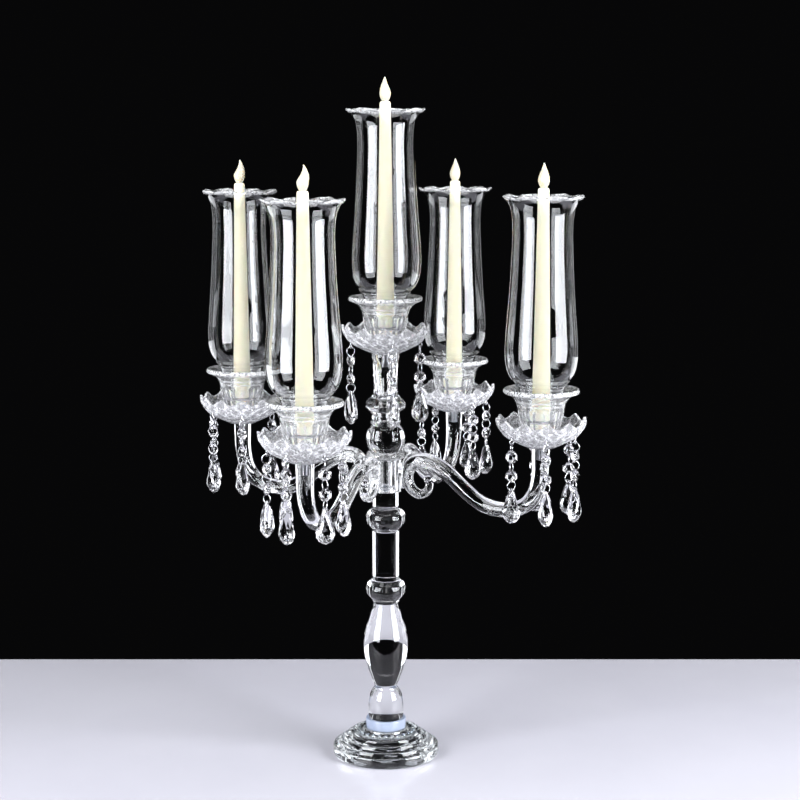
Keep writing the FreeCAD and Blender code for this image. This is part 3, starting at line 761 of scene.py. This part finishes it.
def build_candle_meshes(bend):
    """A taper's battery cap, wax body and flame tip, whose point leans to one side by its bend."""
    cap_top = CANDLE_CAP_TOP - 0.1
    cap = Builder().lathe(outline(
        [(0, CANDLE_FOOT), (CANDLE_CAP_R - 0.5, CANDLE_FOOT)],
        [(CANDLE_CAP_R - 0.5, CANDLE_FOOT), (CANDLE_CAP_R, CANDLE_FOOT + 0.5)],
        [(CANDLE_CAP_R, CANDLE_FOOT + 0.5), (CANDLE_CAP_R, CANDLE_CAP_TOP - 0.4)],
        [(CANDLE_CAP_R, CANDLE_CAP_TOP - 0.4), (CANDLE_CAP_R - 0.4, cap_top)],
        [(CANDLE_CAP_R - 0.4, cap_top), (0, cap_top)]), 64)
    wobble = [RNG.uniform(-1, 1) for _ in range(4)]

    def hand_dipped(r, z, angle):
        """Slightly out of round, and slightly thick and thin along its length."""
        out_of_round = 0.05 * math.sin(3 * angle + wobble[0] * 3 + z * 0.02)
        along = 0.04 * math.sin(z * 0.11 + wobble[1] * 3)
        return r + (out_of_round + along if r > 5 else 0.0), z

    start = CANDLE_CAP_TOP
    steps = 24
    taper = WAX_TOP_R - WAX_FOOT_R
    rise = CANDLE_TOP - 3.4 - start
    body = [(WAX_FOOT_R + taper * t / steps, start + 0.4 + rise * t / steps) for t in range(steps + 1)]
    shoulder = [(WAX_TOP_R, CANDLE_TOP - 3.0), (5.5, CANDLE_TOP - 1.4), (4.6, CANDLE_TOP - 0.3),
                (3.4, CANDLE_TOP)]
    wax_body = Builder().lathe(
        [(0, start), (9.2, start)] + body + smooth(shoulder, 4) + [(0, CANDLE_TOP)], 64, hand_dipped)

    flame = Builder()
    base = CANDLE_TOP + 0.05
    height = FLAME_TOP - CANDLE_TOP
    straight, swing = 0.35, 4.2

    def lean(share):
        """How far the flame's middle is off the axis, at a share of its height."""
        return bend * (math.sin((share - straight) * swing) if share > straight else 0.0) * 1.2

    shape = smooth([(0.0, 3.4), (0.04, 3.9), (0.12, 4.9), (0.22, 5.7), (0.34, 5.9), (0.48, 5.2),
                    (0.62, 3.9), (0.76, 2.5), (0.88, 1.35), (0.96, 0.75)], 4)
    rows = [[(0, 0, base)]]
    for share, radius in shape:
        rows.append([(lean(share) + radius * math.cos(TAU * k / 32), radius * math.sin(TAU * k / 32),
                      base + height * share) for k in range(32)])
    rows.append([(lean(0.99), 0, FLAME_TOP - 0.1)])
    flame.grid(rows)
    return cap, wax_body, flame


def build_screw_mesh():
    """A pan head on a threaded shank."""
    crest_r, root_r, pitch, turns = 3.0, 2.45, 1.0, 31
    profile = [(0, SCREW_TOP), (5.2, SCREW_TOP), (5.9, -42.0), (5.9, -43.9), (2.9, -43.9)]
    z = -44.4
    for _ in range(turns):
        profile += [(crest_r, z), (root_r, z - pitch / 2)]
        z -= pitch
    profile += [(0, z)]
    return Builder().lathe(profile[::-1], 32).build("screw_mesh", 20)


# ---- crystal strings --------------------------------------------------------------------------

def bead_points(work, centre_z, twist):
    """An octagon bead: a table and two rows of facets on each side."""
    start = len(work.vertices)
    levels = ((-3.9, 2.3, 0.0), (-2.4, 4.9, 0.5), (-0.5, 6.7, 0.0), (0.5, 6.7, 0.0), (2.4, 4.9, 0.5),
              (3.9, 2.3, 0.0))
    rows = []
    for x, radius, shift in levels:
        rows.append([(x, radius * math.sin(TAU * (k + 0.5 + shift) / 8),
                      radius * math.cos(TAU * (k + 0.5 + shift) / 8)) for k in range(8)])
    facet_rows(work, rows)
    work.turned(Matrix.Translation((0, 0, centre_z)) @ Matrix.Rotation(twist, 4, "Z"), start)


def facet_rows(work, rows):
    """Flat facets between rows of points: triangles where a row is turned half a step."""
    starts = []
    for row in rows:
        starts.append(len(work.vertices))
        work.vertices += row
    sides = len(rows[0])
    work.faces.append(tuple(starts[0] + k for k in range(sides)))
    work.faces.append(tuple(starts[-1] + k for k in reversed(range(sides))))
    for a, b in zip(starts, starts[1:]):
        for k in range(sides):
            n = (k + 1) % sides
            work.faces.append((a + k, a + n, b + k))
            work.faces.append((a + n, b + n, b + k))


def pear_point(t):
    """A point on a pear's outline as (half width, height below its top), with t from 0 to 1 round it."""
    half = ((1.7, 0.0), (3.3, -4.6), (5.3, -10.6), (7.5, -17.0), (9.2, -22.6), (9.7, -27.0), (8.6, -31.6),
            (5.6, -35.2), (1.9, -37.0))
    side = 1.0
    if t > 0.5:
        t, side = 1.0 - t, -1.0
    place = t * 2 * len(half) - 0.5
    place = min(max(place, 0.0), len(half) - 1.0)
    i = min(int(place), len(half) - 2)
    share = place - i
    (y0, z0), (y1, z1) = half[i], half[i + 1]
    return side * (y0 + (y1 - y0) * share), z0 + (z1 - z0) * share


def drop_points(work, hang_z, twist):
    """A pear drop: a table in the middle of each face, with three rows of cut facets round it."""
    start = len(work.vertices)
    top = hang_z + 2.5
    middle = -24.5
    rows = []
    for shrink, depth, shift in ((0.34, 1.0, 0.5), (0.62, 0.80, 0.0), (0.86, 0.44, 0.5), (1.0, 0.10, 0.0)):
        row = []
        for k in range(DROP_SIDES):
            y, z = pear_point(((k + shift + 0.5) / DROP_SIDES) % 1.0)
            row.append((-depth * DROP_DEPTH, y * shrink, top + middle + (z - middle) * shrink))
        rows.append(row)
    rows += [[(-x, y, z) for x, y, z in row] for row in reversed(rows)]
    facet_rows(work, rows)
    work.turned(Matrix.Rotation(twist, 4, "Z"), start)


def build_string_meshes(twists):
    """The glass and the wire of one string, hanging from the origin and facing +X."""
    crystal = Builder()
    bead_points(crystal, -0.5 * LINK_PITCH, twists[0])
    bead_points(crystal, -1.5 * LINK_PITCH, twists[1])
    drop_points(crystal, -(2 * LINK_PITCH + RING_R + 0.3), twists[2])
    wire = Builder()
    for i, twist in enumerate((0.0, twists[0] + 0.7, twists[1] - 0.6)):
        wire.torus(RING_R, RING_WIRE, (0, 0, -i * LINK_PITCH), (-math.sin(twist), math.cos(twist), 0))
    return crystal, wire


def build_strings():
    """Every string rides on its own body, at its joint's place and facing."""
    variants = []
    for _ in range(STRING_KINDS):
        twists = [math.radians(RNG.uniform(-STRING_TWIST, STRING_TWIST)) for _ in range(3)]
        crystal, wire = build_string_meshes(twists)
        variants.append((crystal.build("string_crystal", 1.0), wire.build("string_wire", 60)))
    swings = [j for j in frame["joints"] if j["type"] == "hinge"]
    for i, joint in enumerate(swings):
        body = joint["child"]
        ax, ay, _ = joint["axis"]
        facing = math.atan2(ax, -ay)
        matrix = Matrix.Translation(joint["pos_m"]) @ Matrix.Rotation(facing, 4, "Z")
        crystal, wire = variants[i % len(variants)]
        dressed(copy_at(crystal, f"{body}_drops", matrix), CRYSTAL, "crystal", body, body)
        dressed(copy_at(wire, f"{body}_rings", matrix), WIRE, "ring_wire", body, body)
    for pair in variants:
        for obj in pair:
            bpy.data.objects.remove(obj)


# ---- assembly ---------------------------------------------------------------------------------

def light_place(name):
    """Matrix from a light's own frame, whose origin is the top of its cup, to the row frame."""
    low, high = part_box(f"cup_{name}")
    x, y = (low.x + high.x) / 2, (low.y + high.y) / 2
    azimuth = 0.0 if name == "centre" else math.atan2(y, x)
    return Matrix.Translation((x, y, high.z)) @ Matrix.Rotation(azimuth, 4, "Z"), azimuth


def build_lights():
    """Five lights alike but for the turn of the shade and the shape of the taper."""
    bobeche = build_bobeche_mesh()
    cup = build_cup_mesh()
    shade = build_shade_mesh()
    screw = build_screw_mesh()
    for index, name in enumerate(LIGHTS):
        place, azimuth = light_place(name)
        dressed(copy_at(bobeche, f"bobeche_{name}_glass", place), PRESSED, "pressed_crystal", "stand",
                f"bobeche_{name}")
        dressed(copy_at(cup, f"cup_{name}_glass", place), CUP_GLASS, "clear_glass", "stand", f"cup_{name}")
        spin = Matrix.Rotation(index * SHADE_TURN, 4, "Z")
        dressed(copy_at(shade, f"shade_{name}_glass", place @ spin), BLOWN, "shade_glass", f"shade_{name}",
                f"shade_{name}")
        dressed(copy_at(screw, f"screw_{name}", place), STEEL, "screw_steel", "stand", "cup_screws")
        body = f"candle_{name}"
        level = place @ Matrix.Rotation(-azimuth, 4, "Z")
        cap, wax_body, flame = build_candle_meshes(FLAME_BEND[name])
        parts = (
            ("cap", cap, CAP_BRIGHTENED, "candle_wax"),
            ("wax", wax_body, WAX, "candle_wax"),
            ("flame", flame, FLAME, "flame_tip"),
        )
        for suffix, work, material, slot in parts:
            obj = work.build(f"{body}_{suffix}", 40)
            obj.matrix_world = level
            dressed(obj, material, slot, body, body)
    for obj in (bobeche, cup, shade, screw):
        bpy.data.objects.remove(obj)


def build_arms():
    arm = build_arm_mesh()
    for name in ARMS:
        _, azimuth = light_place(name)
        dressed(copy_at(arm, f"arm_{name}_glass", Matrix.Rotation(azimuth, 4, "Z")), RIBBED, "clear_glass",
                "stand", f"arm_{name}")
    bpy.data.objects.remove(arm)


def dress_hooks():
    """The wire eyes under the bobeches keep their CAD shape."""
    hooks = frame["nodes"]["pendant_hooks"]
    hooks.data.materials.clear()
    hooks.data.materials.append(WIRE)


# ---- studio -----------------------------------------------------------------------------------

DARK = (0.0022, 0.0022, 0.0024, 1)
COOL = (0.93, 0.95, 1.0)
WINDOW_SIZE = (1.05, 1.5)
WINDOW_TARGET = (0, 0, 0.70)
SIDE_X = 1.38
SIDE_Y = 0.86
SIDE_Z = 0.85
SIDE_STRIPS = (-0.44, -0.10, 0.36)      # places along a panel that stands turned to the object
CAMERA_PLACE = (0.0156, -1.90, 0.69)
CAMERA_LENS = 80.1                      # millimetres, on a 36 mm sensor
CAMERA_DIP = 8.78                       # degrees below level


def build_floor():
    """A pale table top with rounded edges, ending a little behind the object."""
    mesh = bpy.data.meshes.new("table")
    work = bmesh.new()
    bmesh.ops.create_cube(work, size=1.0)
    bmesh.ops.scale(work, vec=(2.6, 0.60, 0.03), verts=work.verts)
    bmesh.ops.translate(work, vec=(0, 0.05, -0.015), verts=work.verts)
    bmesh.ops.bevel(work, geom=work.edges[:], offset=0.003, segments=3, affect="EDGES")
    work.to_mesh(mesh)
    work.free()
    floor = bpy.data.objects.new("table", mesh)
    bpy.context.scene.collection.objects.link(floor)
    floor.data.materials.append(table_top())


def softbox(name, place, target, size, power, colour=(1, 1, 1)):
    """A flat light of the given width and height, facing its target and hidden from the camera."""
    light = bpy.data.lights.new(name, "AREA")
    light.shape = "RECTANGLE"
    light.size, light.size_y = size
    light.energy = power
    light.color = colour
    obj = bpy.data.objects.new(name, light)
    obj.location = place
    obj.rotation_euler = (Vector(target) - Vector(place)).to_track_quat("-Z", "Y").to_euler()
    obj.visible_camera = False
    bpy.context.scene.collection.objects.link(obj)


def build_studio():
    world = bpy.data.worlds.new("studio")
    world.use_nodes = True
    background = world.node_tree.nodes["Background"]
    background.inputs["Color"].default_value = DARK
    background.inputs["Strength"].default_value = 1.0
    bpy.context.scene.world = world

    softbox("window_left", (-1.22, -1.06, 0.80), WINDOW_TARGET, WINDOW_SIZE, 68, COOL)
    softbox("window_right", (1.40, -0.81, 0.80), WINDOW_TARGET, WINDOW_SIZE, 88, COOL)
    softbox("top_fill", (0.0, -0.3, 1.9), (0, 0, 0.3), (1.4, 1.0), 14)
    for side, x in (("left", -SIDE_X), ("right", SIDE_X)):
        for k, along in enumerate(SIDE_STRIPS, 1):
            place = (x * (1 - along * 0.53 / SIDE_X), SIDE_Y + along * 0.85, SIDE_Z)
            softbox(f"side_{side}_{k}", place, (0, 0, SIDE_Z), (0.09, 1.3), 0.6, COOL)
        softbox(f"low_{side}", (x, SIDE_Y, -0.10), (0, 0, -0.10), (1.1, 0.60), 5.2, COOL)

    camera = bpy.data.cameras.new("camera")
    camera.sensor_width = 36.0
    camera.lens = CAMERA_LENS
    camera.clip_end = 50.0
    obj = bpy.data.objects.new("camera", camera)
    obj.location = CAMERA_PLACE
    obj.rotation_euler = (math.radians(90 - CAMERA_DIP), 0, 0)
    bpy.context.scene.collection.objects.link(obj)
    bpy.context.scene.camera = obj

    scene = bpy.context.scene
    scene.view_settings.view_transform = "Standard"
    scene.view_settings.look = "None"
    scene.cycles.max_bounces = 20
    scene.cycles.transmission_bounces = 20
    scene.cycles.glossy_bounces = 6
    scene.cycles.sample_clamp_indirect = 6.0


build_studio()
build_floor()
build_column()
build_arms()
build_lights()
build_strings()
dress_hooks()
